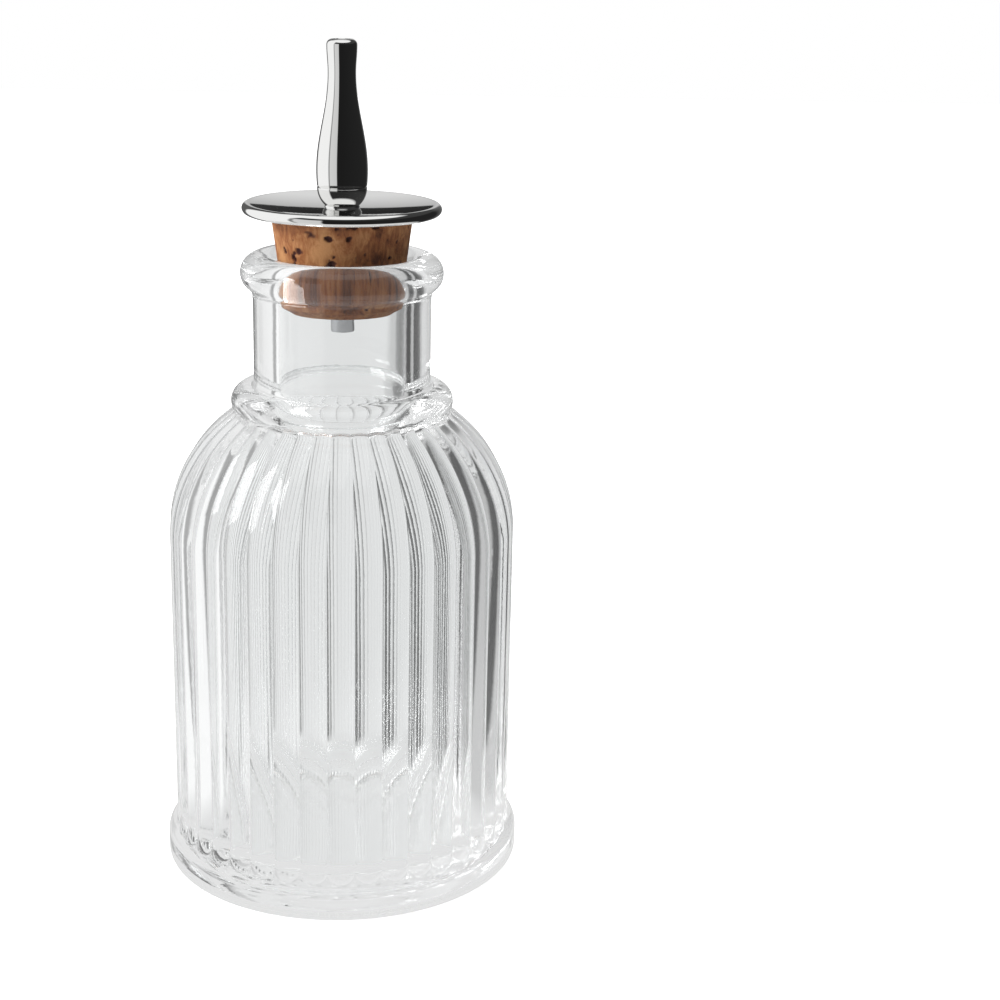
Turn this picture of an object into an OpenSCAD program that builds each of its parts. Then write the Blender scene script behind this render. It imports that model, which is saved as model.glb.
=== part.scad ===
// Bitters bottle: a reeded glass bottle with a long spout on a tapered cork.
// The bottle stands on z = 0 with its axis on the Z axis. Lengths are in millimetres.

/* [Bottle body] */
// Diameter of the body over the crests of its ribs
body_d = 58; // [54:0.5:64]
// Height at which the straight wall ends and the shoulder begins
shoulder_z = 58; // [45:0.5:75]
// Radius of the arc that the shoulder follows
shoulder_r = 25; // [22:0.25:26]
// Thickness of the glass from the crests of the ribs to the inside
wall = 3.4; // [2.6:0.1:5]
// Thickness of the glass above the standing surface
base = 5; // [3.5:0.1:9]
// Rounding of the inside where the wall meets the bottom
heel_r = 5; // [2:0.25:8]
// Depth of the hollow under the bottom
push_up = 1.2; // [0.6:0.1:2.4]

/* [Ribs] */
// Number of ribs round the body
rib_count = 40; // [32:1:44]
// Depth of the valleys between the ribs on the straight wall
rib_depth = 0.75; // [0.45:0.05:0.9]

/* [Foot] */
// How far the foot stands out beyond the ribs
foot_out = 1.5; // [1:0.1:2.5]
// Height of the concave sweep's upper end, where the valleys run out
foot_h = 8.6; // [7.5:0.1:11]
// Radius of the concave sweep between the foot and the ribs
foot_sweep = 5; // [4:0.25:6]
// Rounding of the foot's upper edge
foot_round = 1.5; // [0.8:0.1:2]
// Rounding of the foot's lower edge
foot_edge = 0.8; // [0.3:0.1:1.2]

/* [Neck] */
// Outer diameter of the neck
neck_d = 29.2; // [27.5:0.1:31]
// Diameter of the bore that the cork seats in
bore_d = 20.8; // [19.5:0.1:21.6]
// Height from the middle of the bead to the middle of the lip
neck_h = 21.3; // [14:0.1:32]
// How far the bead at the foot of the neck stands out from the neck
bead_out = 3.8; // [3:0.1:4.5]
// Height of the bead
bead_h = 5.2; // [4.4:0.1:6]
// Height of the bead's middle above the edge where the shoulder ends
bead_rise = 2; // [1.4:0.1:2.4]
// How far the lip stands out from the neck
lip_out = 2; // [1.2:0.1:3]
// Rounding where the shoulder runs into the bore inside
throat_r = 3; // [2:0.25:4.5]

/* [Cork] */
// Diameter of the cork's top
cork_d = 23.1; // [22.6:0.1:25]
// Length of the cork
cork_l = 15.6; // [12:0.1:20]
// Taper of the cork on each side, in degrees
cork_taper = 7.6; // [6:0.1:10]
// Chamfer on the cork's lower edge
cork_chamfer = 1.4; // [0.5:0.1:2]
// Gap between the cork and the lip where the taper seats
cork_gap = 0.05; // [0.02:0.01:0.1]

/* [Flange] */
// Diameter of the flange that covers the cork
flange_d = 32.4; // [30:0.2:36]
// Thickness of the flange at its rim
flange_h = 1.8; // [1.4:0.1:2.6]
// How deep the flange's upper face is dished
flange_dish = 0.7; // [0.2:0.05:0.9]
// Height of the bowl from the dish to the seam
bowl_h = 3.3; // [2.8:0.1:3.6]
// Radius of the bowl's rounded side
bowl_r = 4; // [3.75:0.05:4.2]

/* [Spout] */
// Height of the spout shell above the seam
spout_h = 23.2; // [21:0.1:32]
// Largest diameter of the spout
bulb_d = 8.34; // [7.8:0.02:9]
// Height of the largest diameter above the seam
bulb_h = 2.5; // [1.5:0.1:4]
// Diameter of the spout's waist
waist_d = 4.48; // [4.2:0.02:5.2]
// Height of the waist above the seam
waist_h = 18; // [14:0.1:19.5]
// Diameter of the spout's tip
tip_d = 4.9; // [4.6:0.05:5.6]
// Rounding of the tip's rim
tip_round = 0.9; // [0.4:0.05:1.1]
// Diameter of the pour hole
hole_d = 1.8; // [1:0.1:2.4]
// Thickness of the spout's wall
spout_wall = 0.8; // [0.5:0.05:1]
// Thickness of the metal round the pour hole
tip_wall = 1.4; // [0.8:0.1:2.5]
// Height of the spigot that enters the spout
spigot_h = 2; // [1:0.1:3]
// Thickness of the spigot's wall
spigot_wall = 0.7; // [0.4:0.05:1]
// Chamfer on each side of the seam
seam_bevel = 0.15; // [0.05:0.01:0.25]

/* [Shank tube] */
// Outer diameter of the tube that passes through the cork
tube_d = 3.8; // [3.2:0.1:4]
// Thickness of the tube's wall
tube_wall = 0.4; // [0.25:0.05:0.6]
// Depth that the tube enters the flange
socket_l = 2; // [1.2:0.1:2.4]
// Length of the tube below the cork
tube_out = 3.4; // [2:0.1:6]
// Diameter of the bead rolled in the tube under the cork
roll_d = 6; // [5:0.1:7]
// Gap round the tube in the cork and the flange, and round the spigot
seat_gap = 0.02; // [0.01:0.005:0.05]

/* [Hidden] */
$fn = 128;
// Length by which a cut runs past a face
past = 1;

crest_r = body_d / 2;
valley_r = crest_r - rib_depth;
neck_r = neck_d / 2;
bore_r = bore_d / 2;
foot_r = crest_r + foot_out;
// Width of the ring that the bottle stands on
ring_w = 5;
// How far the foot's sweep reaches inside the valleys, and into the rounding below it
foot_bite = 0.03;
sweep_lap = 0.005;

// The shoulder's arc has its centre at (arc_x, shoulder_z) and ends below the bead's widest point.
arc_x = crest_r - shoulder_r;
bead_r = neck_r + bead_out;
bead_z = shoulder_z + sqrt(pow(shoulder_r, 2) - pow(bead_r - arc_x, 2)) + bead_rise;
lip_z = bead_z + neck_h;
// The lip's round section reaches just inside the bore, which trims it.
lip_trim = 0.05;
lip_r = (neck_r + lip_out - bore_r + lip_trim) / 2;
lip_x = neck_r + lip_out - lip_r;
lip_top = lip_z + lip_r;

// The reeds are round rods of one radius that lie round the axis and follow the shoulder. Where they
// come closer together, each runs further into its neighbours and the valleys grow shallow.
half_turn = 180 / rib_count;
reed_x = (pow(crest_r, 2) - pow(valley_r, 2)) / (2 * (crest_r - valley_r * cos(half_turn)));
reed_r = crest_r - reed_x;
// Reed sections along the shoulder, and faces on each half of a reed
reed_steps = 7;
reed_faces = 3;
reed_end = acos((bead_r - past - arc_x) / shoulder_r);

// Half the width of a reed where it meets its neighbour, t degrees along the shoulder's arc
function reed_half(t) =
    let (k = (arc_x + (shoulder_r - reed_r) * cos(t)) / tan(half_turn),
         q = 1 / pow(tan(half_turn), 2) + pow(cos(t), 2),
         m = pow(k * tan(half_turn), 2) - pow(reed_r * cos(t), 2))
    (k + sqrt(k * k - q * m)) / q;

// Points round the body on the section t degrees along the arc, whose centre is at height z
function reed_ring(t, z) =
    let (w = reed_half(t)) [
        for (i = [0 : rib_count - 1], j = [-reed_faces : reed_faces - 1])
            let (y = w * j / reed_faces,
                 s = shoulder_r - reed_r + sqrt(pow(reed_r, 2) - y * y),
                 x = arc_x + s * cos(t),
                 a = 2 * half_turn * i)
            [x * cos(a) - y * sin(a), x * sin(a) + y * cos(a), z + s * sin(t)]];

// The cork sinks until its taper meets the round of the lip, which sets the height of all that it carries.
cork_slope = tan(cork_taper);
cork_seat_r = lip_x - (lip_r + cork_gap) / cos(cork_taper);
cork_top = lip_z + (cork_d / 2 - cork_seat_r) / cork_slope;
cork_bottom = cork_top - cork_l;
tube_r = tube_d / 2;

// The flange lies on the cork, and the spout stands on the seam above it.
flange_top = cork_top + flange_h;
dish_z = flange_top - flange_dish;
seam_z = dish_z + bowl_h;

// Radius of the spout at a height above the seam: a cosine from bulb to waist, and another to the tip
function swell(from, to, turn) = to + (from - to) * (1 + cos(turn)) / 2;
function spout_r(h) = h < waist_h
    ? swell(bulb_d / 2, waist_d / 2, 180 * (h - bulb_h) / (waist_h - bulb_h))
    : swell(waist_d / 2, tip_d / 2, 180 * (h - waist_h) / (spout_h - tip_round - waist_h));
seam_r = spout_r(0);
spigot_r = seam_r - spout_wall;

// Sections of the glass and of the space inside it
module foot_section() {
    // The sweep ends just inside the valleys, so each valley cuts it at a clear angle.
    sweep = [valley_r - foot_bite + foot_sweep, foot_h];
    reach = foot_sweep + foot_round - sweep_lap;
    edge_x = foot_r - foot_round;
    edge_z = foot_h - sqrt(pow(reach, 2) - pow(sweep[0] - edge_x, 2));
    touch = sweep + ([edge_x, edge_z] - sweep) * (foot_sweep - foot_bite) / reach;
    square([foot_r - foot_edge, edge_z]);
    translate([0, foot_edge]) square([foot_r, edge_z - foot_edge]);
    translate([foot_r - foot_edge, foot_edge]) circle(r = foot_edge);
    translate([edge_x, edge_z]) circle(r = foot_round);
    difference() {
        polygon([[0, edge_z], [edge_x, edge_z], touch, [touch[0], foot_h], [0, foot_h]]);
        translate(sweep) circle(r = foot_sweep);
    }
}

module neck_section() {
    translate([0, shoulder_z]) square([neck_r, lip_z - shoulder_z]);
    translate([bead_r - bead_h / 2, bead_z]) circle(r = bead_h / 2);
    translate([lip_x, lip_z]) circle(r = lip_r);
}

module inside_section() {
    inside_r = crest_r - wall;
    arc_r = shoulder_r - wall;
    throat_x = bore_r + throat_r;
    throat_z = shoulder_z + sqrt(pow(arc_r + throat_r, 2) - pow(throat_x - arc_x, 2));
    touch = [arc_x, shoulder_z] + [throat_x - arc_x, throat_z - shoulder_z] * arc_r / (arc_r + throat_r);
    translate([0, base]) square([inside_r - heel_r, heel_r]);
    intersection() {
        translate([inside_r - heel_r, base + heel_r]) circle(r = heel_r);
        translate([inside_r - heel_r, base]) square(heel_r);
    }
    translate([0, base + heel_r]) square([inside_r, shoulder_z - base - heel_r]);
    intersection() {
        translate([arc_x, shoulder_z]) circle(r = arc_r);
        translate([arc_x, shoulder_z]) square(arc_r);
    }
    translate([0, shoulder_z]) square([arc_x, arc_r]);
    difference() {
        polygon([[bore_r, touch[1]], touch, [touch[0], throat_z], [bore_r, throat_z]]);
        translate([throat_x, throat_z]) circle(r = throat_r);
    }
    translate([0, shoulder_z]) square([bore_r, lip_top - shoulder_z + past]);
}

// The reeded body, as one closed loft through the reed sections
module reeded_body() {
    low = foot_edge;
    high = shoulder_z + shoulder_r * sin(reed_end);
    rings = [reed_ring(0, low), for (k = [0 : reed_steps]) reed_ring(reed_end * k / reed_steps, shoulder_z)];
    n = len(rings[0]);
    last = len(rings) - 1;
    sides = [for (k = [0 : last - 1], i = [0 : n - 1])
        let (a = k * n + i, b = k * n + (i + 1) % n) each [[a, a + n, b + n], [a, b + n, b]]];
    ends = [for (i = [0 : n - 1])
        let (j = (i + 1) % n) each [[last * n + n, i, j], [last * n + n + 1, last * n + j, last * n + i]]];
    polyhedron([for (r = rings) each r, [0, 0, low], [0, 0, high]], concat(sides, ends));
}

module bottle() {
    hollow_r = foot_r - foot_edge - ring_w;
    dome_r = (pow(hollow_r, 2) + pow(push_up, 2)) / (2 * push_up);
    color([0.86, 0.9, 0.89, 0.45]) difference() {
        union() {
            reeded_body();
            rotate_extrude() foot_section();
            rotate_extrude() neck_section();
        }
        rotate_extrude() inside_section();
        translate([0, 0, push_up - dome_r]) sphere(r = dome_r, $fn = 360);
    }
}

module cork() {
    bottom_r = cork_d / 2 - cork_l * cork_slope;
    color([0.66, 0.44, 0.24]) translate([0, 0, cork_bottom]) difference() {
        union() {
            translate([0, 0, cork_chamfer])
                cylinder(r1 = bottom_r + cork_chamfer * cork_slope, r2 = cork_d / 2, h = cork_l - cork_chamfer);
            cylinder(r1 = bottom_r - cork_chamfer, r2 = bottom_r + cork_chamfer * cork_slope, h = cork_chamfer);
        }
        translate([0, 0, -past]) cylinder(r = tube_r + seat_gap, h = cork_l + 2 * past);
    }
}

module flange() {
    rim = flange_h / 2;
    edge_x = flange_d / 2 - rim;
    dish_r = (pow(edge_x, 2) + pow(flange_dish, 2)) / (2 * flange_dish);
    socket_top = cork_top + socket_l;
    color([0.8, 0.81, 0.83]) rotate_extrude() difference() {
        union() {
            difference() {
                translate([0, cork_top]) square([edge_x, flange_h]);
                translate([0, dish_z + dish_r]) circle(r = dish_r, $fn = 720);
            }
            translate([edge_x, cork_top + rim]) circle(r = rim);
            intersection() {
                translate([seam_r - bowl_r, seam_z - seam_bevel]) circle(r = bowl_r);
                translate([0, cork_top + rim]) square([bowl_r + seam_r, seam_z - seam_bevel - cork_top - rim]);
            }
            translate([0, seam_z - seam_bevel]) square([seam_r - seam_bevel, seam_bevel]);
            translate([0, seam_z - seam_bevel]) square([spigot_r - seat_gap, spigot_h + seam_bevel]);
        }
        translate([-bowl_r, cork_top - past]) square([bowl_r, spigot_h + seam_z - cork_top + 2 * past]);
        translate([0, cork_top - past]) square([tube_r + seat_gap, socket_l + past]);
        polygon([[0, socket_top - past], [tube_r - tube_wall, socket_top - past], [tube_r - tube_wall, socket_top],
            [spigot_r - spigot_wall, seam_z], [spigot_r - spigot_wall, seam_z + spigot_h + past],
            [0, seam_z + spigot_h + past]]);
    }
}

module spout() {
    steps = 24;
    arc = 6;
    shoulder_h = spout_h - tip_round;
    inside_h = spout_h - tip_wall;
    outside = [for (i = [0 : steps]) let (h = max(seam_bevel, shoulder_h * i / steps)) [spout_r(h), h]];
    rim = [for (i = [1 : arc]) let (a = 90 * i / arc)
        [tip_d / 2 - tip_round + tip_round * cos(a), shoulder_h + tip_round * sin(a)]];
    inside = [for (i = [0 : steps]) let (h = spigot_h + (inside_h - spigot_h) * i / steps)
        [max(hole_d / 2, spout_r(h) - spout_wall), h]];
    color([0.8, 0.81, 0.83]) translate([0, 0, seam_z]) rotate_extrude() difference() {
        polygon(concat([[0, 0], [seam_r - seam_bevel, 0]], outside, rim, [[0, spout_h]]));
        polygon(concat([[0, -past], [spigot_r, -past], [spigot_r, spigot_h]], inside,
            [[hole_d / 2, inside_h], [hole_d / 2, spout_h + past], [0, spout_h + past]]));
    }
}

module shank_tube() {
    roll_x = roll_d / 2 - tube_wall;
    color([0.72, 0.73, 0.75]) rotate_extrude() translate([0, cork_bottom]) {
        translate([tube_r - tube_wall, -tube_out])
            square([tube_wall, cork_l + socket_l + tube_out]);
        translate([tube_r - tube_wall, -2 * tube_wall])
            square([roll_x - tube_r + tube_wall, 2 * tube_wall]);
        translate([roll_x, -tube_wall]) circle(r = tube_wall);
    }
}

bottle();
cork();
flange();
spout();
shank_tube();
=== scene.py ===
"""Looks of a reeded glass bitters bottle with a chromed pouring top on a cork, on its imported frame."""
import logging
import math
from collections.abc import Sequence
from dataclasses import dataclass
from enum import Enum

import bpy
import numpy as np
from mathutils import Matrix, Vector, noise


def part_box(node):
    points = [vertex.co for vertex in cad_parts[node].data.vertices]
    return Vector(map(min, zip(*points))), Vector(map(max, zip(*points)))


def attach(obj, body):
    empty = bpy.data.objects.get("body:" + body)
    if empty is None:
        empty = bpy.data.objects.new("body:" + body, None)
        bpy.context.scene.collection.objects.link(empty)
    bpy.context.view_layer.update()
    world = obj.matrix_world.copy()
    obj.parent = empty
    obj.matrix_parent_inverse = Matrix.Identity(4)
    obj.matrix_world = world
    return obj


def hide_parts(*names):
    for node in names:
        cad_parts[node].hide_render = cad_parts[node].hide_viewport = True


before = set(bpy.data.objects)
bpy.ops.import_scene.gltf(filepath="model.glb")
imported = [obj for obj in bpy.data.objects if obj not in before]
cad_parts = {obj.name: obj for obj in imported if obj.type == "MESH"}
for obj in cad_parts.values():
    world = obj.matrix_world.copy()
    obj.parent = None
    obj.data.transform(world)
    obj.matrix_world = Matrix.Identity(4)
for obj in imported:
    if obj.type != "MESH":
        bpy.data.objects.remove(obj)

log = logging.getLogger("bitters_bottle")
MM = 0.001
# Name of the point attribute that carries the cork's lenticels from its mesh to its material.
PIT_LAYER = "pit"
WHITE = "#ffffff"

Point = tuple[float, float]
Stops = tuple[tuple[float, str], ...]


class Slot(Enum):
    """Names of the record's material slots."""

    GLASS = "clear_glass"
    CORK = "natural_cork"
    CHROME = "chromed_metal"
    STEEL = "steel_tube"


def linear(srgb: str) -> tuple[float, float, float, float]:
    """Turns a colour written as sRGB hex into the linear values that Blender's sockets take.

    Args:
        srgb: The colour, such as "#c08a52".

    Returns:
        Red, green, blue and alpha.
    """
    parts = [int(srgb[i : i + 2], 16) / 255 for i in (1, 3, 5)]
    r, g, b = (c / 12.92 if c <= 0.04045 else ((c + 0.055) / 1.055) ** 2.4 for c in parts)
    return (r, g, b, 1.0)


def per_metre(size_mm: float) -> float:
    """Gives the scale of a texture whose features are size_mm across, on coordinates in metres."""
    return 1 / (size_mm * MM)


def add(tree: bpy.types.NodeTree, kind: str, links: dict | None = None,
        **settings: object) -> bpy.types.Node:
    """Adds one node to a tree, with its settings and what feeds it.

    Args:
        tree: The node tree.
        kind: The node's type name.
        links: Input name or number to a value, or to the output socket that feeds it.
        settings: Attributes of the node, such as operation or blend_type.

    Returns:
        The new node.
    """
    node = tree.nodes.new(kind)
    for name, value in settings.items():
        setattr(node, name, value)
    for key, value in (links or {}).items():
        if isinstance(value, bpy.types.NodeSocket):
            tree.links.new(value, node.inputs[key])
        else:
            node.inputs[key].default_value = value
    return node


def ramp(tree: bpy.types.NodeTree, factor: bpy.types.NodeSocket,
         stops: Sequence[tuple[float, str]]) -> bpy.types.NodeSocket:
    """Adds a colour ramp.

    Args:
        tree: The node tree.
        factor: The socket that drives the ramp.
        stops: Position and sRGB hex colour of each stop, in order.

    Returns:
        The ramp's colour output.
    """
    node = add(tree, "ShaderNodeValToRGB", {"Fac": factor})
    elements = node.color_ramp.elements
    while len(elements) < len(stops):
        elements.new(0.5)
    for element, (position, colour) in zip(elements, stops, strict=True):
        element.position = position
        element.color = linear(colour)
    return node.outputs["Color"]


def mix(tree: bpy.types.NodeTree, factor: bpy.types.NodeSocket, a: object,
        b: object) -> bpy.types.NodeSocket:
    """Adds a blend of two colours.

    Args:
        tree: The node tree.
        factor: The share of the second colour.
        a: The first colour, as values or a socket.
        b: The second colour, as values or a socket.

    Returns:
        The blended colour.
    """
    return add(tree, "ShaderNodeMix", {"Factor": factor, "A": a, "B": b}, data_type="RGBA").outputs["Result"]


def maths(tree: bpy.types.NodeTree, operation: str, *values: object) -> bpy.types.NodeSocket:
    """Adds a calculation on single values, and gives its result.

    Args:
        tree: The node tree.
        operation: The operation's name.
        values: The inputs in order, as values or sockets.

    Returns:
        The result.
    """
    return add(tree, "ShaderNodeMath", dict(enumerate(values)), operation=operation).outputs["Value"]


def mottle(tree: bpy.types.NodeTree, place: bpy.types.NodeSocket, size_mm: float, detail: float,
           **inputs: float) -> bpy.types.NodeSocket:
    """Adds a noise whose features have a real size.

    Args:
        tree: The node tree.
        place: The coordinates, in metres.
        size_mm: How far apart the features are, in millimetres.
        detail: How many finer layers the noise has.
        inputs: Other inputs of the noise, by name.

    Returns:
        The noise, from 0 to 1.
    """
    values = {"Vector": place, "Scale": per_metre(size_mm), "Detail": detail, **inputs}
    return add(tree, "ShaderNodeTexNoise", values).outputs["Fac"]


def relief(tree: bpy.types.NodeTree, height: bpy.types.NodeSocket, depth_mm: float, strength: float = 1.0,
           under: bpy.types.NodeSocket | None = None) -> bpy.types.NodeSocket:
    """Adds a bump.

    Args:
        tree: The node tree.
        height: The pattern that is raised.
        depth_mm: Height of the pattern, in millimetres.
        strength: How much of the bump shows.
        under: The normal that the bump lies on, if it lies on another bump.

    Returns:
        The bumped normal.
    """
    links = {"Height": height, "Strength": strength, "Distance": depth_mm * MM}
    if under is not None:
        links["Normal"] = under
    return add(tree, "ShaderNodeBump", links).outputs["Normal"]


def new_material(name: str) -> tuple[bpy.types.Material, bpy.types.NodeTree, bpy.types.Node]:
    """Makes an empty node material with a Principled shader on its output.

    Args:
        name: The material's name.

    Returns:
        The material, its tree and the Principled node.
    """
    material = bpy.data.materials.new(name)
    material.use_nodes = True
    tree = material.node_tree
    tree.nodes.clear()
    shader = add(tree, "ShaderNodeBsdfPrincipled")
    add(tree, "ShaderNodeOutputMaterial", {"Surface": shader.outputs["BSDF"]})
    return material, tree, shader


@dataclass(frozen=True)
class PressedGlass:
    """Clear soda-lime glass, pressed in a mould and fire polished, with the mould's faint waviness."""

    tint: str = "#fdfefe"
    ior: float = 1.5
    roughness: float = 0.0
    wave_mm: float = 7.0
    wave_height_mm: float = 0.05
    wave_drawn: float = 0.25
    skin_mm: float = 0.7
    skin_height_mm: float = 0.004

    def material(self) -> bpy.types.Material:
        """Builds the material: a transmissive shader with two scales of ripple in its bump."""
        material, tree, shader = new_material("pressed_clear_glass")
        shader.inputs["Base Color"].default_value = linear(self.tint)
        shader.inputs["Transmission Weight"].default_value = 1.0
        shader.inputs["Roughness"].default_value = self.roughness
        shader.inputs["IOR"].default_value = self.ior
        place = add(tree, "ShaderNodeNewGeometry").outputs["Position"]
        # The mould's ripples run up the bottle, so they are drawn out along the axis.
        drawn = add(tree, "ShaderNodeMapping", {"Vector": place, "Scale": (1, 1, self.wave_drawn)})
        wave = mottle(tree, drawn.outputs["Vector"], self.wave_mm, detail=1.0)
        skin = mottle(tree, place, self.skin_mm, detail=2.0)
        wavy = relief(tree, wave, self.wave_height_mm)
        tree.links.new(relief(tree, skin, self.skin_height_mm, under=wavy), shader.inputs["Normal"])
        return material


@dataclass(frozen=True)
class NaturalCork:
    """Natural cork bark, punched and ground to a taper: warm brown, grained, with dark lenticels."""

    light: str = "#c28c5c"
    middle: str = "#9a6038"
    dark: str = "#5e3520"
    pit: str = "#43221c"
    tones: tuple[float, float, float] = (0.36, 0.47, 0.6)
    roughness: float = 0.78
    grain_mm: float = 1.1
    grain_drawn: float = 0.35
    grain_height_mm: float = 0.15
    patch_mm: float = 6.0
    cell_mm: float = 0.35
    cell_height_mm: float = 0.06

    def material(self) -> bpy.types.Material:
        """Builds the material: patches and grain in the colour, pits from the mesh, a matt skin."""
        material, tree, shader = new_material("natural_cork")
        place = add(tree, "ShaderNodeNewGeometry").outputs["Position"]
        patch = mottle(tree, place, self.patch_mm, detail=3.0)
        # The bark's growth runs up the stopper, so the grain is drawn out along Z.
        along = add(tree, "ShaderNodeVectorMath", {0: place, 1: (1.0, 1.0, self.grain_drawn)},
                    operation="MULTIPLY")
        grain = mottle(tree, along.outputs["Vector"], self.grain_mm, detail=6.0, Roughness=0.7,
                       Distortion=0.9)
        cells = add(tree, "ShaderNodeTexVoronoi", {"Vector": place, "Scale": per_metre(self.cell_mm)})
        shade = maths(tree, "MULTIPLY", maths(tree, "ADD", patch, grain), 0.5)
        wood = ramp(tree, shade, tuple(zip(self.tones, (self.dark, self.middle, self.light), strict=True)))
        pits = add(tree, "ShaderNodeAttribute", attribute_name=PIT_LAYER).outputs["Fac"]
        tree.links.new(mix(tree, pits, wood, linear(self.pit)), shader.inputs["Base Color"])
        shader.inputs["Roughness"].default_value = self.roughness
        skin = relief(tree, cells.outputs["Distance"], self.cell_height_mm, strength=0.35)
        rough = relief(tree, grain, self.grain_height_mm, strength=0.6, under=skin)
        tree.links.new(rough, shader.inputs["Normal"])
        return material


@dataclass(frozen=True)
class BrightMetal:
    """Plated or drawn metal whose polish leaves a slight orange-peel in the reflections."""

    name: str
    colour: str
    roughness: float
    peel_mm: float = 3.0
    peel_height_mm: float = 0.004

    def material(self) -> bpy.types.Material:
        """Builds the material: full metal with a faint peel in its bump."""
        material, tree, shader = new_material(self.name)
        shader.inputs["Base Color"].default_value = linear(self.colour)
        shader.inputs["Metallic"].default_value = 1.0
        shader.inputs["Roughness"].default_value = self.roughness
        place = add(tree, "ShaderNodeNewGeometry").outputs["Position"]
        peel = mottle(tree, place, self.peel_mm, detail=1.0)
        tree.links.new(relief(tree, peel, self.peel_height_mm), shader.inputs["Normal"])
        return material


CHROME = BrightMetal("bright_chrome_plate", "#efefee", 0.03)
STEEL = BrightMetal("drawn_steel_tube", "#b9babc", 0.22)


def arc(centre: Point, radius: float, start: float, end: float, count: int) -> list[Point]:
    """Gives points along an arc of a section.

    Args:
        centre: Centre of the arc, as radius and height in millimetres.
        radius: Radius of the arc in millimetres.
        start: Angle of the first point in degrees.
        end: Angle of the last point in degrees.
        count: Number of steps.

    Returns:
        count + 1 points, as radius and height.
    """
    turns = (math.radians(start + (end - start) * i / count) for i in range(count + 1))
    return [(centre[0] + radius * math.cos(t), centre[1] + radius * math.sin(t)) for t in turns]


def line(start: Point, end: Point, count: int, whole: bool = True) -> list[Point]:
    """Gives points along a straight stretch of a section, without its first one.

    Args:
        start: Start of the stretch, as radius and height in millimetres.
        end: End of the stretch.
        count: Number of steps.
        whole: Whether the end itself is among the points.

    Returns:
        The points, as radius and height.
    """
    last = count + 1 if whole else count
    return [(start[0] + (end[0] - start[0]) * i / count, start[1] + (end[1] - start[1]) * i / count)
            for i in range(1, last)]


def piece_from_rings(name: str, rings: np.ndarray, closed: bool, body: str, nodes: Sequence[str],
                     material: bpy.types.Material) -> bpy.types.Object:
    """Makes a smooth piece from rings of points and hangs it on the frame.

    Args:
        name: The piece's name.
        rings: Array of rings by turns by 3, in millimetres. The section runs anticlockwise.
        closed: Whether the last ring joins the first. If not, both ends close on the axis.
        body: Body that the piece rides on.
        nodes: Nodes that the piece stands for.
        material: The piece's finish.

    Returns:
        The piece.
    """
    count, around = rings.shape[:2]
    steps = count if closed else count - 1
    k = np.arange(steps)[:, None]
    i = np.arange(around)[None, :]
    a = k * around + i
    b = k * around + (i + 1) % around
    up = ((k + 1) % count) * around
    c = up + (i + 1) % around
    d = up + i
    quads = np.stack([a, b, c, d], -1).reshape(-1, 4).tolist()
    points = (rings.reshape(-1, 3) * MM).tolist()
    if not closed:
        first, last = len(points), len(points) + 1
        points += [[0.0, 0.0, float(rings[0, 0, 2]) * MM], [0.0, 0.0, float(rings[-1, 0, 2]) * MM]]
        top = (count - 1) * around
        quads += [[first, (j + 1) % around, j] for j in range(around)]
        quads += [[last, top + j, top + (j + 1) % around] for j in range(around)]
    mesh = bpy.data.meshes.new(name)
    mesh.from_pydata(points, [], quads)
    mesh.polygons.foreach_set("use_smooth", [True] * len(mesh.polygons))
    mesh.update()
    piece = bpy.data.objects.new(name, mesh)
    bpy.context.scene.collection.objects.link(piece)
    mesh.materials.append(material)
    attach(piece, body)
    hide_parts(*nodes)
    log.info("%s: %d points, rides on %s", name, len(points), body)
    return piece


def turned(section: Sequence[Point], around: int) -> np.ndarray:
    """Turns a section about the axis into rings.

    Args:
        section: Points as radius and height in millimetres.
        around: Points on each ring.

    Returns:
        Array of rings by turns by 3.
    """
    turn = np.arange(around) * 2 * math.pi / around
    rz = np.asarray(section, float)
    x = rz[:, :1] * np.cos(turn)[None, :]
    y = rz[:, :1] * np.sin(turn)[None, :]
    return np.stack([x, y, np.broadcast_to(rz[:, 1:], x.shape)], -1)


@dataclass(frozen=True)
class GlassRings:
    """How many rings of points the stretches of the glass get. More are where it bends sharply."""

    dome: int = 12
    edge: int = 6
    upper: int = 8
    sweep: int = 12
    shoulder: int = 56
    bead: int = 28
    lip: int = 48
    bore: int = 6
    throat: int = 8
    inner_shoulder: int = 24
    inner_wall: int = 6
    heel: int = 10
    floor: int = 10
    # Shares of the straight wall and of the neck that have a ring, in parts of the whole.
    parts: int = 24
    straight: tuple[int, ...] = (1, 2, 3, 4, 10, 17, 24)
    neck: tuple[int, ...] = (1, 2, 3, 4, 5, 12, 19, 20, 21, 22, 23)


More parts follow.
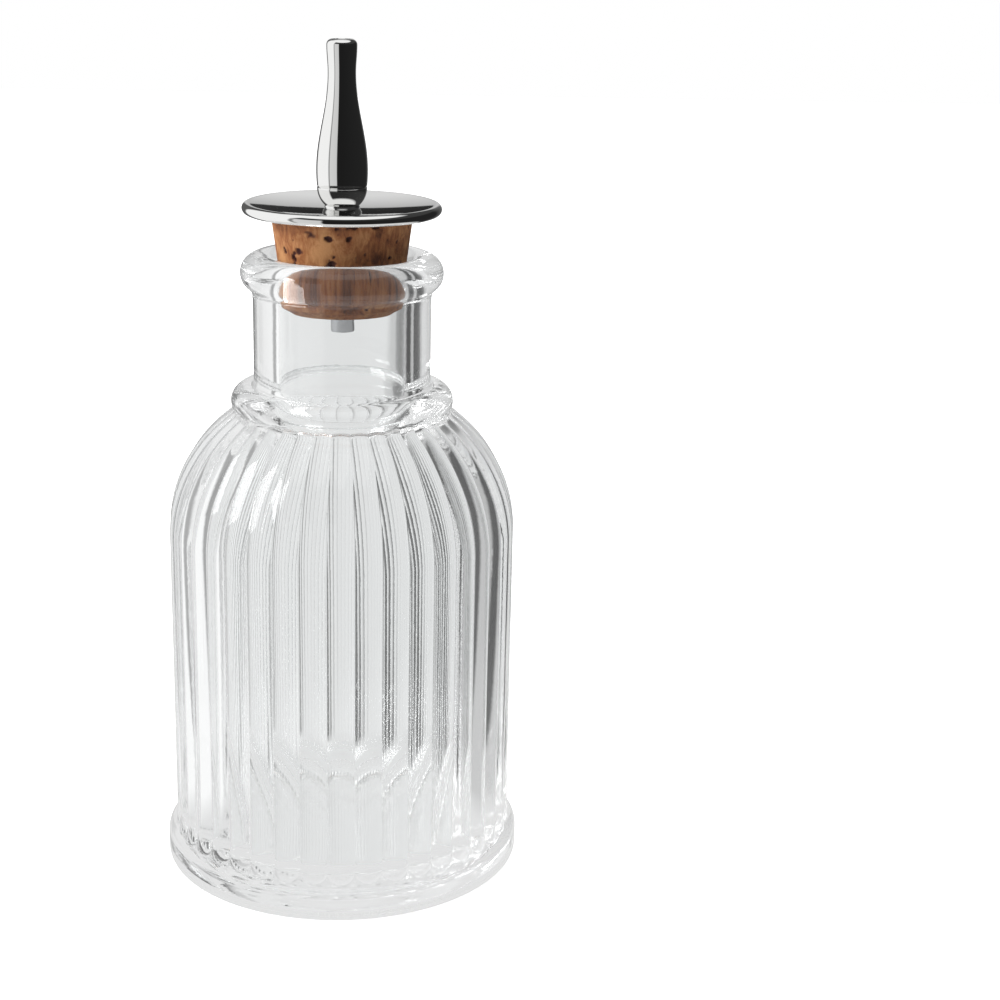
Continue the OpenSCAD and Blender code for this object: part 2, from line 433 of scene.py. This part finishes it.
@dataclass
class GlassBottle:
    """The bottle: one closed skin of glass, reeded outside and plain inside. Millimetres.

    crest_r is the radius over the ribs, shoulder_z the height where the straight wall ends, push_up the
    rise of the hollow under the foot and sole_w the width of the ring that the bottle stands on.
    half_rib gives the places of the points between the crest of a rib and the valley beside it.
    """

    crest_r: float = 29.0
    shoulder_z: float = 58.0
    shoulder_r: float = 25.0
    wall: float = 3.4
    base: float = 5.0
    heel_r: float = 5.0
    push_up: float = 1.2
    rib_count: int = 40
    rib_depth: float = 0.75
    foot_out: float = 1.5
    foot_h: float = 8.6
    foot_sweep: float = 5.0
    foot_round: float = 1.5
    foot_edge: float = 0.8
    neck_r: float = 14.6
    bore_r: float = 10.4
    neck_h: float = 21.3
    bead_out: float = 3.8
    bead_h: float = 5.2
    bead_rise: float = 2.0
    lip_out: float = 2.0
    throat_r: float = 3.0
    sole_w: float = 5.0
    half_rib: tuple[float, ...] = (0.25, 0.5, 0.7, 0.84, 0.93, 0.98)
    rings: GlassRings = GlassRings()
    relax_rounds: int = 6
    relax_reach: int = 3

    def __post_init__(self) -> None:
        """Works out the places that follow from the sizes.

        Each rib is a round rod at reed_x from the axis, with the radius reed_r, so that its crest
        lies at crest_r and neighbours meet at valley_r.
        """
        self.arc_x = self.crest_r - self.shoulder_r
        self.valley_r = self.crest_r - self.rib_depth
        self.bead_r = self.neck_r + self.bead_out
        rise = math.sqrt(self.shoulder_r**2 - (self.bead_r - self.arc_x) ** 2)
        self.bead_z = self.shoulder_z + rise + self.bead_rise
        self.lip_z = self.bead_z + self.neck_h
        self.lip_r = (self.neck_r + self.lip_out - self.bore_r) / 2
        self.half_turn = math.pi / self.rib_count
        self.reed_x = (self.crest_r**2 - self.valley_r**2) / (
            2 * (self.crest_r - self.valley_r * math.cos(self.half_turn)))
        self.reed_r = self.crest_r - self.reed_x

    def reed(self, t: np.ndarray, offset: np.ndarray) -> tuple[np.ndarray, np.ndarray]:
        """Gives the reeds' surface along the shoulder.

        Args:
            t: Angle along the shoulder's arc, in radians.
            offset: Angle round the axis from the nearest crest, in radians.

        Returns:
            Radius and height, in millimetres.
        """
        c, s = np.cos(t), np.sin(t)
        # The rod's section at this angle is crossed by a line from the axis: y is how far to the side.
        slope = np.tan(np.abs(offset))
        k = self.arc_x + (self.shoulder_r - self.reed_r) * c
        a = 1 + (slope * c) ** 2
        b = k * slope
        y = (b + np.sqrt(np.maximum(b * b - a * slope**2 * (k * k - (self.reed_r * c) ** 2), 0))) / a
        y = np.where(slope > 0, y, 0.0)
        along = self.shoulder_r - self.reed_r + np.sqrt(self.reed_r**2 - y * y)
        x = self.arc_x + along * c
        return np.hypot(x, y), self.shoulder_z + along * s

    def shoulder_end(self, offset: np.ndarray) -> np.ndarray:
        """Finds where the reeds run into the bead, by halving.

        Args:
            offset: Angle round the axis from the nearest crest, in radians.

        Returns:
            Angle along the shoulder's arc, in radians.
        """
        # The search runs from an angle well below the bead to a place well inside it.
        well_below, well_inside, halvings = 0.3, 1.0, 40
        low = np.full_like(offset, well_below)
        high = np.full_like(offset, math.acos((self.bead_r - well_inside - self.arc_x) / self.shoulder_r))
        centre = self.bead_r - self.bead_h / 2
        for _ in range(halvings):
            middle = (low + high) / 2
            r, z = self.reed(middle, offset)
            outside = np.hypot(r - centre, z - self.bead_z) > self.bead_h / 2
            low = np.where(outside, middle, low)
            high = np.where(outside, high, middle)
        return (low + high) / 2

    def outside(self, offset: np.ndarray) -> list[tuple[np.ndarray, np.ndarray]]:
        """Builds the outer section at every point round the axis, from the bottom's middle to the mouth.

        Args:
            offset: Angle round the axis from the nearest crest, in radians.

        Returns:
            Stretches of the section, each as radius and height arrays of steps by turns: dome, edge and
            upper round of the foot, its sweep, the straight wall, shoulder, bead, neck and lip.
        """
        one = np.ones_like(offset)[None, :]
        rings = self.rings
        foot_r = self.crest_r + self.foot_out
        hollow = foot_r - self.foot_edge - self.sole_w

        def plain(points: Sequence[Point]) -> tuple[np.ndarray, np.ndarray]:
            """Repeats a round stretch at every turn."""
            p = np.asarray(points, float)
            return p[:, :1] * one, p[:, 1:] * one

        def swept(centre: Point, radius: float, start: np.ndarray, end: np.ndarray,
                  count: int) -> tuple[np.ndarray, np.ndarray]:
            """Sweeps an arc whose ends differ from turn to turn."""
            f = np.linspace(0, 1, count + 1)[:, None]
            t = start[None, :] + (end - start)[None, :] * f
            return centre[0] + radius * np.cos(t), centre[1] + radius * np.sin(t)

        dome = [(hollow * i / rings.dome, self.push_up * (1 - (i / rings.dome) ** 2))
                for i in range(1, rings.dome + 1)]
        edge = arc((foot_r - self.foot_edge, self.foot_edge), self.foot_edge, -90, 0, rings.edge)
        edge_x = foot_r - self.foot_round
        sweep_x = self.valley_r + self.foot_sweep
        reach = self.foot_sweep + self.foot_round
        edge_z = self.foot_h - math.sqrt(reach**2 - (sweep_x - edge_x) ** 2)
        tilt = math.atan2(self.foot_h - edge_z, sweep_x - edge_x)
        upper = arc((edge_x, edge_z), self.foot_round, 0, math.degrees(tilt), rings.upper)
        body_r, _ = self.reed(np.zeros_like(offset), offset)
        start = np.full_like(offset, math.pi + tilt)
        rise = np.sqrt(np.maximum(self.foot_sweep**2 - (sweep_x - body_r) ** 2, 0))
        end = math.pi + np.arcsin(rise / self.foot_sweep)
        sweep = swept((sweep_x, self.foot_h), self.foot_sweep, start, end, rings.sweep)
        low = sweep[1][-1]
        f = np.array(rings.straight)[:, None] / rings.parts
        straight = (body_r[None, :] * np.ones_like(f), low[None, :] + (self.shoulder_z - low)[None, :] * f)
        stop = self.shoulder_end(offset)
        f = np.linspace(0, 1, rings.shoulder + 1)[1:, None]
        turn = stop[None, :] * f
        shoulder = self.reed(turn, np.broadcast_to(offset[None, :], turn.shape))
        bead_x = self.bead_r - self.bead_h / 2
        start = np.arctan2(shoulder[1][-1] - self.bead_z, shoulder[0][-1] - bead_x)
        end = np.full_like(offset, math.acos((self.neck_r - bead_x) / (self.bead_h / 2)))
        bead = swept((bead_x, self.bead_z), self.bead_h / 2, start, end, rings.bead)
        lip_x = self.neck_r + self.lip_out - self.lip_r
        under = -math.degrees(math.acos((self.neck_r - lip_x) / self.lip_r))
        low_z = bead[1][-1, 0]
        high_z = self.lip_z + self.lip_r * math.sin(math.radians(under))
        neck = [(self.neck_r, low_z + (high_z - low_z) * i / rings.parts) for i in rings.neck]
        lip = arc((lip_x, self.lip_z), self.lip_r, under, 180, rings.lip)
        return [plain(dome), plain(edge), plain(upper), sweep, straight, shoulder, bead, plain(neck),
                plain(lip)]

    def inside(self) -> list[Point]:
        """Builds the inner section, from the bore down to the middle of the floor.

        Returns:
            Points as radius and height.
        """
        rings = self.rings
        inner = self.crest_r - self.wall
        radius = self.shoulder_r - self.wall
        throat_x = self.bore_r + self.throat_r
        throat_z = self.shoulder_z + math.sqrt((radius + self.throat_r) ** 2 - (throat_x - self.arc_x) ** 2)
        lean = math.degrees(math.atan2(throat_z - self.shoulder_z, throat_x - self.arc_x))
        bore = line((self.bore_r, self.lip_z), (self.bore_r, throat_z), rings.bore, whole=False)
        throat = arc((throat_x, throat_z), self.throat_r, 180, 180 + lean, rings.throat)
        shoulder = arc((self.arc_x, self.shoulder_z), radius, lean, 0, rings.inner_shoulder)[1:]
        wall_low = self.base + self.heel_r
        wall = line((inner, self.shoulder_z), (inner, wall_low), rings.inner_wall, whole=False)
        heel = arc((inner - self.heel_r, wall_low), self.heel_r, 0, -90, rings.heel)
        floor = line((inner - self.heel_r, self.base), (0, self.base), rings.floor, whole=False)
        return bore + throat + shoulder + wall + heel + floor

    def relax(self, r: np.ndarray, z: np.ndarray, joints: Sequence[int]) -> None:
        """Rounds the creases where stretches of the outside meet, as the mould does.

        Args:
            r: Radii of the rings, changed in place.
            z: Heights of the rings, changed in place.
            joints: Numbers of the rings at the creases.
        """
        reach = self.relax_reach
        for _ in range(self.relax_rounds):
            for ring in joints:
                for values in (r, z):
                    before = values[ring - reach - 1 : ring + reach + 2]
                    mean = (before[:-2] + 2 * before[1:-1] + before[2:]) / 4
                    values[ring - reach : ring + reach + 1] = mean

    def build(self, material: bpy.types.Material) -> bpy.types.Object:
        """Builds the glass skin.

        Args:
            material: The glass.

        Returns:
            The piece.
        """
        # The points crowd toward the valleys, where the flanks are steep.
        rib = np.array([-1.0, *(-f for f in reversed(self.half_rib)), 0.0, *self.half_rib]) * self.half_turn
        offset = np.tile(rib, self.rib_count)
        turn = offset + np.repeat(np.arange(self.rib_count) * 2 * self.half_turn, len(rib))
        around = len(turn)
        stretches = self.outside(offset)
        r = np.concatenate([s[0] for s in stretches])
        z = np.concatenate([s[1] for s in stretches])
        ends = np.cumsum([len(s[0]) for s in stretches])
        # The creases lie above the sweep, the shoulder, the bead and the neck.
        self.relax(r, z, [int(ends[i]) for i in (3, 5, 6, 7)])
        # The bottom of each valley is narrow but not sharp.
        valley = np.abs(np.abs(offset) - self.half_turn) < 1e-6
        r = np.where(valley, (np.roll(r, 1, 1) + 2 * r + np.roll(r, -1, 1)) / 4, r)
        skin = np.asarray(self.inside(), float)
        r = np.concatenate([r, skin[:, :1] * np.ones((1, around))])
        z = np.concatenate([z, skin[:, 1:] * np.ones((1, around))])
        rings = np.stack([r * np.cos(turn), r * np.sin(turn), z], -1)
        return piece_from_rings("glass_bottle", rings, False, "bottle", ["bottle"], material)


@dataclass
class TaperedCork:
    """The cork: a ground taper with a bore, whose skin is pitted by lenticels. Millimetres."""

    top_z: float
    bottom_z: float
    top_r: float = 11.55
    taper: float = 7.6
    chamfer: float = 1.4
    bore_r: float = 1.92
    around: int = 320
    side: int = 96
    seed: int = 7
    pit_count: int = 34
    pit_wide: Point = (0.15, 0.5)
    pit_tall: Point = (0.6, 1.8)
    pit_deep: Point = (0.1, 0.35)
    dark_from: float = 0.16
    ragged: float = 0.9
    ragged_per_mm: float = 1.6
    # The largest lenticels: degrees from the front, height, width, tallness and depth.
    marks: tuple[tuple[float, float, float, float, float], ...] = (
        (-10.7, 108.7, 0.6, 0.5, 0.45), (6.2, 108.8, 0.4, 0.4, 0.4), (-8.0, 104.4, 0.75, 1.2, 0.5),
        (-25.0, 109.6, 0.8, 0.6, 0.2), (-45.0, 105.3, 0.5, 1.2, 0.45), (-38.0, 106.4, 0.9, 0.5, 0.3),
        (8.4, 110.6, 1.1, 0.3, 0.35), (29.0, 110.6, 0.9, 0.3, 0.4), (-81.0, 107.8, 0.5, 0.7, 0.4),
        (-2.5, 110.5, 0.5, 0.25, 0.3), (13.0, 105.2, 0.3, 0.5, 0.2), (46.0, 105.5, 0.4, 0.3, 0.25))

    def build(self, material: bpy.types.Material) -> bpy.types.Object:
        """Builds the cork with its pits pressed into the mesh.

        Args:
            material: The cork's finish.

        Returns:
            The piece.
        """
        slope = math.tan(math.radians(self.taper))
        low_r = self.top_r - (self.top_z - self.bottom_z) * slope
        corners = ((self.bore_r, self.bottom_z), (low_r - self.chamfer, self.bottom_z),
                   (low_r + self.chamfer * slope, self.bottom_z + self.chamfer), (self.top_r, self.top_z),
                   (self.bore_r, self.top_z))
        # Steps along the bottom, the chamfer, the side and the top.
        steps = (10, 8, self.side, 8)
        section = [corners[0]]
        for start, end, count in zip(corners[:-1], corners[1:], steps, strict=True):
            section += line(start, end, count)
        rings = turned(section, self.around)
        depth = self.pit_depths(rings)
        r = np.hypot(rings[..., 0], rings[..., 1])
        # The bore stays smooth.
        shrink = np.where(r > self.bore_r + 1, 1 - depth / r, 1.0)
        rings[..., :2] *= shrink[..., None]
        piece = piece_from_rings("cork_stopper", rings, True, "stopper", ["cork"], material)
        layer = piece.data.attributes.new(PIT_LAYER, "FLOAT", "POINT")
        dark = np.clip(depth / self.dark_from, 0, 1)
        layer.data.foreach_set("value", dark.reshape(-1).astype(np.float32))
        return piece

    def pit_depths(self, rings: np.ndarray) -> np.ndarray:
        """Works out how deep the lenticels go into the skin.

        Args:
            rings: The plain rings, in millimetres.

        Returns:
            Depth at every point, in millimetres, never below zero.
        """
        rng = np.random.default_rng(self.seed)
        turn = np.arctan2(rings[..., 1], rings[..., 0])
        along = turn * self.top_r
        z = rings[..., 2]
        depth = np.zeros(z.shape)
        full = 2 * math.pi * self.top_r
        pits = [(math.radians(angle - 90) * self.top_r, height, wide, tall, deep)
                for angle, height, wide, tall, deep in self.marks]
        for _ in range(self.pit_count):
            wide = rng.uniform(*self.pit_wide)
            pits.append((rng.uniform(0, full), rng.uniform(self.bottom_z, self.top_z), wide,
                         wide * rng.uniform(*self.pit_tall), rng.uniform(*self.pit_deep)))
        flat = rings.reshape(-1, 3)
        edge = np.array([noise.noise(Vector(p) * self.ragged_per_mm) for p in flat]).reshape(z.shape)
        for x, height, wide, tall, deep in pits:
            # The distance goes the shorter way round.
            dx = (along - x + full / 2) % full - full / 2
            d = np.hypot(dx / wide, (z - height) / tall) + self.ragged * edge
            depth = np.maximum(depth, deep * np.clip(1.1 - d, 0, 1) ** 0.7)
        return depth


@dataclass
class ChromedTop:
    """The pouring top: flange with its bowl, spout shell and shank tube. Millimetres."""

    cork_top: float
    cork_bottom: float
    flange_r: float = 16.2
    flange_h: float = 1.8
    dish: float = 0.7
    bowl_h: float = 3.3
    bowl_r: float = 4.0
    spout_h: float = 23.2
    bulb_r: float = 4.17
    bulb_h: float = 2.5
    waist_r: float = 2.24
    waist_h: float = 18.0
    tip_r: float = 2.45
    tip_round: float = 0.9
    hole_r: float = 0.9
    spout_wall: float = 0.8
    tip_wall: float = 1.4
    spigot_h: float = 2.0
    spigot_wall: float = 0.7
    fillet: float = 0.35
    fillet_turn: float = 5.0
    mouth_r: float = 0.25
    tip_turn: float = 80.0
    bevel: float = 0.15
    tube_r: float = 1.9
    tube_wall: float = 0.4
    socket: float = 2.0
    tube_out: float = 3.4
    roll_r: float = 3.0
    gap: float = 0.02
    around: int = 192
    spout_rings: int = 72
    bore_rings: int = 30
    sharp_from: float = 32.0

    def __post_init__(self) -> None:
        """Works out the heights that follow from the sizes."""
        self.dish_z = self.cork_top + self.flange_h - self.dish
        self.seam_z = self.dish_z + self.bowl_h
        self.seam_r = self.spout_r(0)
        self.spigot_r = self.seam_r - self.spout_wall

    def spout_r(self, h: float) -> float:
        """Gives the spout's outer radius at height h above the seam."""
        first = h < self.waist_h
        a, b = (self.bulb_r, self.waist_r) if first else (self.waist_r, self.tip_r)
        low, high = (self.bulb_h, self.waist_h) if first else (self.waist_h, self.spout_h - self.tip_round)
        return b + (a - b) * (1 + math.cos(math.pi * (h - low) / (high - low))) / 2

    def flange(self, material: bpy.types.Material) -> bpy.types.Object:
        """Builds the disc, its bowl, socket and spigot.

        Args:
            material: The chrome.

        Returns:
            The piece.
        """
        rim = self.flange_h / 2
        edge_x = self.flange_r - rim
        hole = self.tube_r + self.gap
        inner = self.tube_r - self.tube_wall
        top = self.cork_top + self.socket
        section = [(hole, self.cork_top)]
        section += line(section[0], (edge_x, self.cork_top), 10, whole=False)
        section += arc((edge_x, self.cork_top + rim), rim, -90, 90, 20)
        bowl_x = self.seam_r - self.bowl_r
        foot = math.asin((self.seam_z - self.bevel - self.dish_z) / self.bowl_r)
        bowl_low = bowl_x + self.bowl_r * math.cos(foot) + self.fillet
        section += [(x, self.dish_z + self.dish * (x / edge_x) ** 2)
                    for x, _ in line((edge_x, 0), (bowl_low, 0), 24)]
        start = self.fillet_turn - math.degrees(foot)
        section += arc((bowl_x, self.seam_z - self.bevel), self.bowl_r, start, 0, 20)
        outer, bore = self.spigot_r - self.gap, self.spigot_r - self.spigot_wall
        spigot_top = self.seam_z + self.spigot_h
        section += [(self.seam_r - self.bevel, self.seam_z), (outer, self.seam_z), (outer, spigot_top),
                    (bore, spigot_top), (bore, self.seam_z), (inner, top), (hole, top)]
        return self.turned_piece("chrome_flange", section, "flange", material)

    def spout(self, material: bpy.types.Material) -> bpy.types.Object:
        """Builds the hollow spout shell above the seam.

        Args:
            material: The chrome.

        Returns:
            The piece.
        """
        shoulder = self.spout_h - self.tip_round
        inside = self.spout_h - self.tip_wall
        heights = [max(self.bevel, shoulder * i / self.spout_rings) for i in range(self.spout_rings + 1)]
        section = [(self.spigot_r, 0.0), (self.seam_r - self.bevel, 0.0)]
        section += [(self.spout_r(h), h) for h in heights]
        section += arc((self.tip_r - self.tip_round, shoulder), self.tip_round, 0, self.tip_turn, 10)[1:]
        section += arc((self.hole_r + self.mouth_r, self.spout_h - self.mouth_r), self.mouth_r, 90, 180, 5)
        section += [(self.hole_r, inside)]
        down = [inside + (self.spigot_h - inside) * i / self.bore_rings for i in range(self.bore_rings + 1)]
        section += [(max(self.hole_r, self.spout_r(h) - self.spout_wall), h) for h in down]
        section += [(self.spigot_r, self.spigot_h)]
        section = [(r, z + self.seam_z) for r, z in section]
        return self.turned_piece("chrome_spout", section, "spout", material)

    def tube(self, material: bpy.types.Material) -> bpy.types.Object:
        """Builds the shank tube with the bead rolled in it under the cork.

        Args:
            material: The steel.

        Returns:
            The piece.
        """
        inner = self.tube_r - self.tube_wall
        bottom = self.cork_bottom - self.tube_out
        top = self.cork_top + self.socket
        wall, low = self.tube_wall, self.cork_bottom
        roll = arc((self.roll_r - wall, low - wall), wall, -90, 90, 10)
        section = [(inner, bottom), (self.tube_r, bottom), (self.tube_r, low - 2 * wall), *roll,
                   (self.tube_r, low), (self.tube_r, top), (inner, top)]
        return self.turned_piece("steel_shank_tube", section, "shank_tube", material)

    def turned_piece(self, name: str, section: Sequence[Point], node: str,
                     material: bpy.types.Material) -> bpy.types.Object:
        """Turns a closed section into a piece, with its hard edges marked.

        Args:
            name: The piece's name.
            section: Points as radius and height.
            node: Node that the piece stands for.
            material: The piece's finish.

        Returns:
            The piece.
        """
        piece = piece_from_rings(name, turned(section, self.around), True, "stopper", [node], material)
        piece.data.set_sharp_from_angle(angle=math.radians(self.sharp_from))
        return piece


@dataclass(frozen=True)
class Softbox:
    """A square soft light that faces the bottle. Metres and watts."""

    name: str
    place: tuple[float, float, float]
    size: float
    power: float
    through_glass: bool

    def hang(self, target: tuple[float, float, float]) -> None:
        """Hangs the light.

        Args:
            target: The place that it faces.
        """
        data = bpy.data.lights.new(self.name, "AREA")
        data.shape = "SQUARE"
        data.size = self.size
        data.energy = self.power
        lamp = bpy.data.objects.new(self.name, data)
        lamp.location = self.place
        lamp.visible_glossy = False
        lamp.visible_transmission = self.through_glass
        lamp.rotation_euler = (Vector(target) - Vector(self.place)).to_track_quat("-Z", "Y").to_euler()
        bpy.context.scene.collection.objects.link(lamp)


@dataclass
class Studio:
    """Camera, pale floor and soft lights. The camera fits the outline of the bottle. Metres."""

    lens_px: float = 1959.1
    frame_px: float = 1000.0
    distance: float = 0.31849
    height: float = 0.15785
    yaw: float = 0.0836
    pitch: float = 0.2891
    roll: float = 0.0221
    rib_turn: float = 0.75
    floor_half: float = 1.5
    floor_colour: str = "#e4e4e4"
    floor_glow: float = 0.85
    # Tones that stand round the bottle, by degrees from straight behind it, positive to the right:
    # what a polished surface mirrors, and what shows through the glass.
    mirrored: Stops = (
        (-180, "#1e1e1e"), (-159, "#1e1e1e"), (-156, "#d4d4d4"), (-125, "#dcdcdc"), (-122, "#8a8a8a"),
        (-119, "#8a8a8a"), (-116, "#ffffff"), (-42, "#ffffff"), (-37, "#5e5e5e"), (-12, "#5e5e5e"),
        (-8, "#c6c6c6"), (8, "#c6c6c6"), (14, "#6c6c6c"), (44, "#262626"), (180, "#1e1e1e"))
    through: Stops = (
        (-180, "#d4d4d4"), (-150, "#e0e0e0"), (-110, "#ffffff"), (-62, "#ffffff"), (-59, "#a6a6a6"),
        (-54, "#a6a6a6"), (-50, "#f4f4f4"), (-30, "#eeeeee"), (-8, "#e8e8e8"), (14, "#e6e6e6"),
        (17, "#cecece"), (22, "#c6c6c6"), (24, "#909090"), (30, "#646464"), (42, "#565656"),
        (45, "#bcbcbc"), (50, "#bcbcbc"), (53, "#5c5c5c"), (61, "#5c5c5c"), (65, "#c4c4c4"),
        (84, "#c8c8c8"), (180, "#d4d4d4"))
    # What is mirrored higher up, and the sine of the height over which it takes over.
    high: Stops = (
        (-180, "#303030"), (-122, "#303030"), (-114, "#ffffff"), (-44, "#ffffff"), (-34, "#484848"),
        (180, "#303030"))
    high_from: Point = (0.34, 0.42)
    sky: str = WHITE
    sky_from: Point = (0.74, 0.82)
    # A dark slot behind the bottle, low over the far edge of the table: where it stands, by degrees,
    # and its tones by the sine of the height.
    slot_turn: Stops = (
        (-180, "#000000"), (-3.1, "#000000"), (-2.8, "#ffffff"), (1.8, "#ffffff"), (2.1, "#000000"),
        (180, "#000000"))
    slot_rise: Stops = (
        (0, "#ffffff"), (0.01, "#ffffff"), (0.014, "#262626"), (0.118, "#2e2e2e"), (0.124, "#b8b8b8"),
        (0.26, "#e0e0e0"))
    # Close to the bottle the table glows pale to mirrored rays and to rays through the glass, however it is
    # lit: painted light that leaves out the bottle's shadow. Its tone, and how far it reaches.
    near_glow: str = "#e3e3e3"
    near_mirrored: float = 0.11
    near_through: float = 0.038
    near_fade: float = 1.3
    # The light at the left also shines through the glass onto the cork.
    lights: tuple[Softbox, ...] = (Softbox("left_softbox", (-0.62, -0.12, 0.4), 0.5, 5.0, True),
                                   Softbox("top_softbox", (0.0, 0.1, 0.7), 0.6, 3.0, False))
    target: tuple[float, float, float] = (0.0, 0.0, 0.07)
    bounces: int = 32

    def camera(self) -> bpy.types.Object:
        """Places the camera.

        Returns:
            The camera, which is the scene's.
        """
        data = bpy.data.cameras.new("camera")
        data.sensor_width = 36.0
        data.lens = self.lens_px / self.frame_px * data.sensor_width
        data.clip_start = 0.01
        cos_p, sin_p = math.cos(self.pitch), math.sin(self.pitch)
        right = Vector((math.cos(self.yaw), -math.sin(self.yaw), 0))
        forward = Vector((math.sin(self.yaw) * cos_p, math.cos(self.yaw) * cos_p, -sin_p))
        up = right.cross(forward)
        tilted = right * math.cos(self.roll) + up * math.sin(self.roll)
        upright = up * math.cos(self.roll) - right * math.sin(self.roll)
        turn = Matrix((tilted, upright, -forward)).transposed().to_4x4()
        camera = bpy.data.objects.new("camera", data)
        about = Matrix.Rotation(math.radians(self.rib_turn), 4, "Z")
        camera.matrix_world = about @ Matrix.Translation((0, -self.distance, self.height)) @ turn
        bpy.context.scene.collection.objects.link(camera)
        bpy.context.scene.camera = camera
        return camera

    def tones(self, tree: bpy.types.NodeTree,
              way: bpy.types.NodeSocket) -> tuple[bpy.types.NodeSocket, bpy.types.Node]:
        """Gives what metal and glass show of the studio in one direction.

        Args:
            tree: The node tree.
            way: The direction, or a place on the floor, as a vector from the foot of the bottle.

        Returns:
            The colour, and the Light Path node that picks between what is mirrored and what shines
            through.
        """
        part = add(tree, "ShaderNodeSeparateXYZ", {"Vector": way}).outputs
        turn = maths(tree, "ARCTAN2", part["X"], part["Y"])
        share = maths(tree, "MULTIPLY_ADD", turn, 1 / (2 * math.pi), 0.5)
        away = add(tree, "ShaderNodeVectorMath", {0: way}, operation="LENGTH").outputs["Value"]

        def around(stops: Stops) -> bpy.types.NodeSocket:
            """Gives tones that stand round the bottle, from their degrees."""
            return ramp(tree, share, [(0.5 + degrees / 360, colour) for degrees, colour in stops])

        def fade(value: bpy.types.NodeSocket, start: float, end: float) -> bpy.types.NodeSocket:
            """Gives a share that grows from 0 at start to 1 at end."""
            values = {"Value": value, "From Min": start, "From Max": end}
            return add(tree, "ShaderNodeMapRange", values).outputs["Result"]

        low = mix(tree, around(self.slot_turn), around(self.mirrored), ramp(tree, part["Z"], self.slot_rise))
        middle = mix(tree, fade(part["Z"], *self.high_from), low, around(self.high))
        whole = mix(tree, fade(part["Z"], *self.sky_from), middle, linear(self.sky))
        # Close to the bottle, on the floor, the tones give way to a pale painted glow that leaves out the
        # bottle's shadow.
        reaches = ((whole, self.near_mirrored), (around(self.through), self.near_through))
        shown = [mix(tree, fade(away, reach, self.near_fade * reach), linear(self.near_glow), colour)
                 for colour, reach in reaches]
        path = add(tree, "ShaderNodeLightPath")
        return mix(tree, path.outputs["Is Transmission Ray"], *shown), path

    def floor(self) -> bpy.types.Object:
        """Lays the pale table top, which shows white to the camera and keeps the bottle's shadow. To
        mirrored rays and rays through the glass it glows with the studio's tones instead, and pale close to
        the bottle: painted light, without the shadow.

        Returns:
            The floor.
        """
        mesh = bpy.data.meshes.new("floor")
        half = self.floor_half
        corners = [(-half, -half, 0), (half, -half, 0), (half, half, 0), (-half, half, 0)]
        mesh.from_pydata(corners, [], [(0, 1, 2, 3)])
        floor = bpy.data.objects.new("floor", mesh)
        bpy.context.scene.collection.objects.link(floor)
        material, tree, shader = new_material("pale_floor")
        shader.inputs["Base Color"].default_value = linear(self.floor_colour)
        shader.inputs["Roughness"].default_value = 1.0
        shader.inputs["Specular IOR Level"].default_value = 0.0
        shader.inputs["Emission Color"].default_value = linear(WHITE)
        colour, path = self.tones(tree, add(tree, "ShaderNodeNewGeometry").outputs["Position"])
        glow = maths(tree, "MULTIPLY", path.outputs["Is Camera Ray"], self.floor_glow)
        tree.links.new(glow, shader.inputs["Emission Strength"])
        # Mirrored rays and rays through the glass see the floor glow with the studio's tones, pale close to
        # the bottle: painted light that leaves out the bottle's shadow.
        shown = add(tree, "ShaderNodeEmission", {"Color": colour})
        either = maths(tree, "MAXIMUM", path.outputs["Is Glossy Ray"], path.outputs["Is Transmission Ray"])
        cover = add(tree, "ShaderNodeMixShader", {"Fac": either, 1: shader.outputs["BSDF"],
                                                  2: shown.outputs["Emission"]})
        tree.links.new(cover.outputs["Shader"], tree.nodes["Material Output"].inputs["Surface"])
        mesh.materials.append(material)
        return floor

    def world(self) -> None:
        """Surrounds the bottle with a studio that is white to the camera and darker to the right."""
        world = bpy.data.worlds.new("studio")
        bpy.context.scene.world = world
        world.use_nodes = True
        tree = world.node_tree
        tree.nodes.clear()
        colour, path = self.tones(tree, add(tree, "ShaderNodeTexCoord").outputs["Generated"])
        seen = mix(tree, path.outputs["Is Camera Ray"], colour, linear(WHITE))
        back = add(tree, "ShaderNodeBackground", {"Color": seen, "Strength": 1.0})
        add(tree, "ShaderNodeOutputWorld", {"Surface": back.outputs["Background"]})

    def build(self) -> None:
        """Sets up the whole studio."""
        self.camera()
        self.floor()
        self.world()
        for light in self.lights:
            light.hang(self.target)
        scene = bpy.context.scene
        scene.view_settings.view_transform = "Standard"
        # Light runs round inside the thick foot many times before it leaves.
        cycles = scene.cycles
        cycles.max_bounces = cycles.transmission_bounces = cycles.glossy_bounces = self.bounces
        log.info("studio: %d lights", len(self.lights))


def main() -> None:
    """Builds the studio and the pieces."""
    logging.basicConfig(level=logging.INFO, format="%(message)s")
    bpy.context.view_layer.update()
    Studio().build()
    cork_low, cork_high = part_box("cork")
    chrome = CHROME.material()
    GlassBottle().build(PressedGlass().material())
    TaperedCork(cork_high[2] / MM, cork_low[2] / MM).build(NaturalCork().material())
    top = ChromedTop(cork_high[2] / MM, cork_low[2] / MM)
    top.flange(chrome)
    top.spout(chrome)
    top.tube(STEEL.material())


if __name__ == "__main__":
    main()
